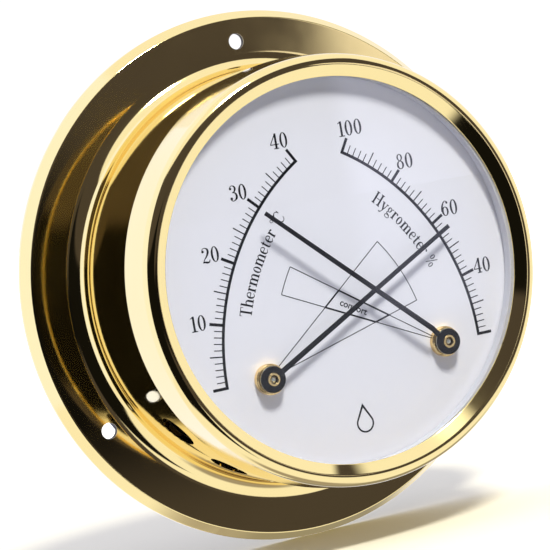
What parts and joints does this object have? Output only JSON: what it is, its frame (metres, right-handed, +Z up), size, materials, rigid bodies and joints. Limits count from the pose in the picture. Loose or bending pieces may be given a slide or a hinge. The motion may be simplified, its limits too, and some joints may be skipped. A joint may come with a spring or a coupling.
{
  "type": "dial hygrometer",
  "caption": "Round brass wall instrument with a flanged foot, a glazed white dial and two crossing black hands for air temperature and relative humidity.",
  "frame": {"origin": "centre of the back, on the plane of the wall", "axes": "the dial faces -Y, +X is to its right, +Z is up and +Y points into the wall"},
  "size_m": [0.11, 0.0369, 0.11],
  "materials": {
    "polished_brass": "mirror polished and lacquered",
    "turned_brass": "fine turned and stamped",
    "clear_glass": "clear, flat, polished",
    "white_dial": "satin white enamel, printed black",
    "white_plastic": "matt white moulded",
    "black_hand": "satin black lacquer",
    "steel": "bright turned",
    "bimetal": "rolled strip",
    "hygro_strip": "coated strip, matt",
    "black_rubber": "matt",
    "black_plastic": "fine grained"
  },
  "bodies": {
    "housing": {"case": "polished_brass", "bezel_ring": "polished_brass", "glass": "clear_glass", "glass_gasket": "black_rubber", "spacer_ring": "white_plastic", "dial_plate": "white_dial", "movement_plate": "turned_brass", "back_cover": "black_plastic", "cover_pillar_1": "turned_brass", "cover_screw_1": "steel", "cover_pillar_2": "turned_brass", "cover_screw_2": "steel", "cover_pillar_3": "turned_brass", "cover_screw_3": "steel", "thermometer_bush": "turned_brass", "thermometer_bush_nut": "turned_brass", "thermometer_bridge": "turned_brass", "thermometer_lever_clip": "steel", "thermometer_pillar_1": "turned_brass", "thermometer_bridge_screw_1": "steel", "thermometer_pillar_2": "turned_brass", "thermometer_bridge_screw_2": "steel", "hygrometer_bush": "turned_brass", "hygrometer_bush_nut": "turned_brass", "hygrometer_bridge": "turned_brass", "hygrometer_lever_clip": "steel", "hygrometer_pillar_1": "turned_brass", "hygrometer_bridge_screw_1": "steel", "hygrometer_pillar_2": "turned_brass", "hygrometer_bridge_screw_2": "steel"},
    "thermometer_adjuster": {"thermometer_lever": "turned_brass", "thermometer_stud": "steel", "thermometer_spiral": "bimetal"},
    "thermometer_pointer": {"thermometer_arbor": "steel", "thermometer_spiral_collet": "turned_brass", "thermometer_hand_collet": "turned_brass", "thermometer_hand": "black_hand"},
    "hygrometer_adjuster": {"hygrometer_lever": "turned_brass", "hygrometer_stud": "steel", "hygrometer_spiral": "hygro_strip"},
    "hygrometer_pointer": {"hygrometer_arbor": "steel", "hygrometer_spiral_collet": "turned_brass", "hygrometer_hand_collet": "turned_brass", "hygrometer_hand": "black_hand"}
  },
  "joints": [
    {"name": "thermometer_adjust", "type": "hinge", "parent": "housing", "child": "thermometer_adjuster", "pos_m": [0.02116, 0, -0.01824], "axis": [0, -1, 0], "range_deg": [-4, 4]},
    {"name": "thermometer_hand_turn", "type": "hinge", "parent": "thermometer_adjuster", "child": "thermometer_pointer", "pos_m": [0.02116, 0, -0.01824], "axis": [0, -1, 0], "range_deg": [-18, 43.5], "stiffness_Nm_per_rad": 0.0017, "deforming": ["thermometer_spiral"]},
    {"name": "hygrometer_adjust", "type": "hinge", "parent": "housing", "child": "hygrometer_adjuster", "pos_m": [-0.01796, 0, -0.01824], "axis": [0, -1, 0], "range_deg": [-4, 4]},
    {"name": "hygrometer_hand_turn", "type": "hinge", "parent": "hygrometer_adjuster", "child": "hygrometer_pointer", "pos_m": [-0.01796, 0, -0.01824], "axis": [0, -1, 0], "range_deg": [-17, 34], "stiffness_Nm_per_rad": 0.0017, "deforming": ["hygrometer_spiral"]}
  ]
}
